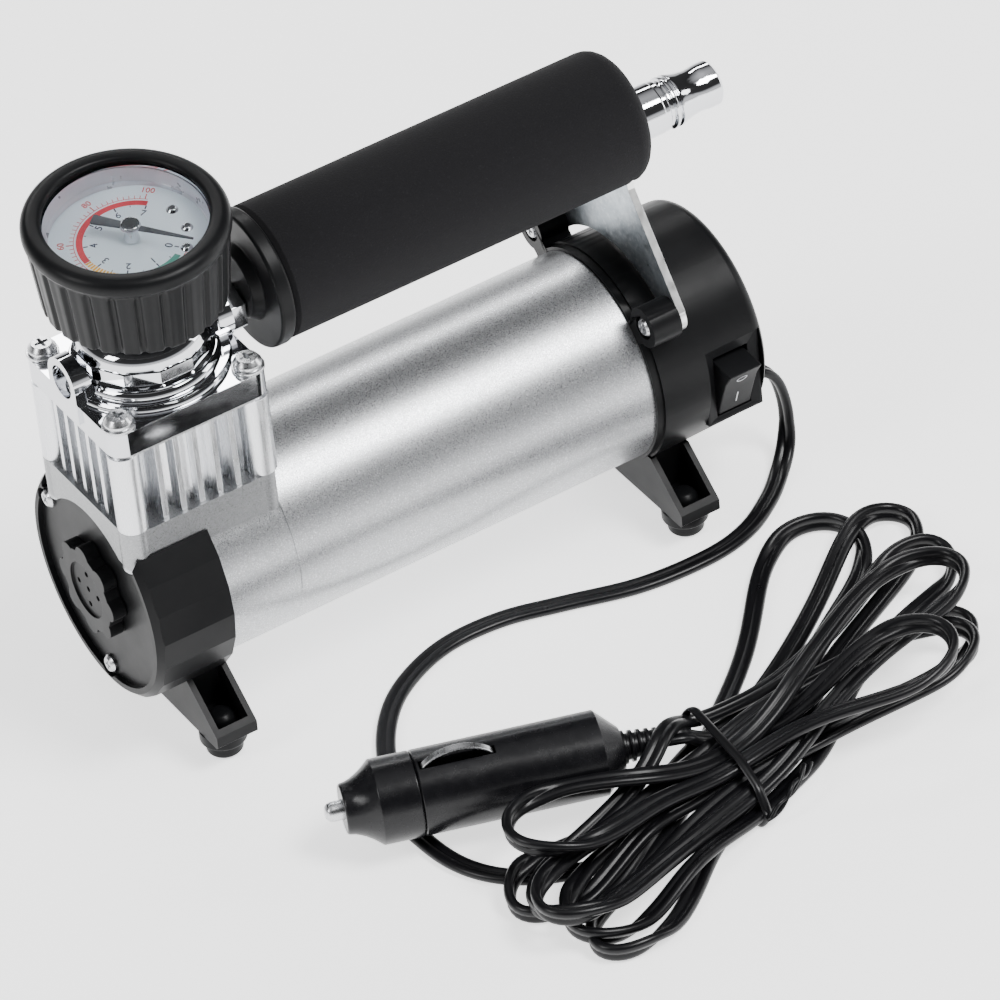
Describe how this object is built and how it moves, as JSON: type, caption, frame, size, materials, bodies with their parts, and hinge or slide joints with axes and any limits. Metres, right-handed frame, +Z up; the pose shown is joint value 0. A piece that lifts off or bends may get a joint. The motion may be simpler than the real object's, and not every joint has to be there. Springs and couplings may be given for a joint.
{
  "type": "portable tire inflator",
  "caption": "Compact 12 V tire inflator: finned pump on a cylindrical motor, dial gauge in a ribbed boot, foam grip, rocker switch, coiled cord with a vehicle plug.",
  "frame": {"origin": "middle of the bounding box's base without the cord, under the feet", "axes": "+X along the motor from the pump towards the switch end, +Z up, the switch on the -Y side"},
  "size_m": [0.2027, 0.1836, 0.15],
  "materials": {
    "can_paint": "metallic silver flake, satin",
    "cast_paint": "sand-cast skin under silver flake paint",
    "bright_alu": "die-cast, lightly brushed fins",
    "chrome": "mirror plated",
    "steel": "zinc-plated fastener steel",
    "zinc_sheet": "blue-white zinc plate, mottled, bright sheared edge",
    "black_plastic": "fine satin texture",
    "switch_plastic": "semi-gloss",
    "gloss_black": "polished mould surface",
    "cord_pvc": "glossy soft PVC",
    "rubber": "moulded, slightly dusty",
    "foam": "closed-cell foam, matte",
    "glass": "clear",
    "dial_print": "pale blue-white printed face",
    "needle_paint": "dark grey",
    "copper": "enamelled copper",
    "bronze": "sintered bronze",
    "ferrite": "sintered",
    "lamination": "stacked steel",
    "carbon": "pressed carbon",
    "ptfe": "smooth",
    "filter_felt": "open foam"
  },
  "bodies": {
    "pump": {"motor_can": "can_paint", "magnets": "ferrite", "end_plate": "steel", "shaft_bearings": "bronze", "brushes": "carbon", "crankcase": "cast_paint", "front_cover": "black_plastic", "cover_screws": "steel", "cylinder": "bright_alu", "valve_plate": "steel", "cylinder_head": "chrome", "head_screws": "steel", "head_washers": "steel", "gauge_base": "chrome", "gauge_case": "chrome", "gauge_boot": "rubber", "gauge_dial": "dial_print", "dial_screws": "steel", "gauge_lens": "glass", "outlet_nut": "chrome", "outlet_tube": "steel", "handle_flange": "black_plastic", "handle_tube": "steel", "foam_grip": "foam", "quick_plug": "chrome", "handle_bracket": "zinc_sheet", "bracket_screws": "steel", "rear_cap": "black_plastic", "feet": "rubber", "switch_bezel": "switch_plastic", "cord_gland": "rubber", "cord_tube": "cord_pvc", "cord_hank": "cord_pvc", "hank_tie": "cord_pvc", "plug_body": "gloss_black", "plug_nose": "gloss_black", "plug_relief": "cord_pvc", "plug_spring": "steel"},
    "rotor": {"rotor_shaft": "steel", "rotor_core": "lamination", "rotor_windings": "copper", "commutator": "copper", "crank_web": "steel", "crank_pin": "steel"},
    "piston": {"connecting_rod": "bright_alu", "rod_bearing": "steel", "piston_cup": "ptfe", "cup_retainer": "bright_alu", "retainer_screw": "steel"},
    "needle": {"gauge_needle": "needle_paint", "needle_hub": "steel"},
    "rocker": {"switch_rocker": "switch_plastic"},
    "filter": {"filter_cap": "black_plastic", "filter_foam": "filter_felt"},
    "pin": {"plug_pin": "chrome", "plug_fuse": "glass"},
    "clip": {"plug_clip": "steel"}
  },
  "joints": [
    {"name": "rotor_spin", "type": "hinge", "parent": "pump", "child": "rotor", "pos_m": [-0.04814, 0, 0.043], "axis": [1, 0, 0], "continuous": true},
    {"name": "piston_slide", "type": "slide", "parent": "pump", "child": "piston", "axis": [0, 0, 1], "range_m": [-0.01, 0]},
    {"name": "needle_sweep", "type": "hinge", "parent": "pump", "child": "needle", "pos_m": [-0.06814, -0.00368, 0.14222], "axis": [0.0451, 0.1038, -0.9936], "range_deg": [0, 270], "stiffness_Nm_per_rad": 0.0002, "springref_deg": -17.19},
    {"name": "rocker_tip", "type": "hinge", "parent": "pump", "child": "rocker", "pos_m": [0.07706, -0.022, 0.04], "axis": [1, 0, 0], "range_deg": [-18, 0]},
    {"name": "filter_twist", "type": "hinge", "parent": "pump", "child": "filter", "pos_m": [-0.08914, 0, 0.043], "axis": [-1, 0, 0], "range_deg": [0, 45]},
    {"name": "plug_pin_slide", "type": "slide", "parent": "pump", "child": "pin", "axis": [0.9435, -0.3313, 0], "range_m": [0, 0.0025], "stiffness_N_per_m": 800, "springref_m": -0.001},
    {"name": "plug_clip_slide", "type": "slide", "parent": "pump", "child": "clip", "axis": [0.0689, 0.1962, -0.9781], "range_m": [0, 0.0028], "stiffness_N_per_m": 1500, "springref_m": -0.0003}
  ]
}
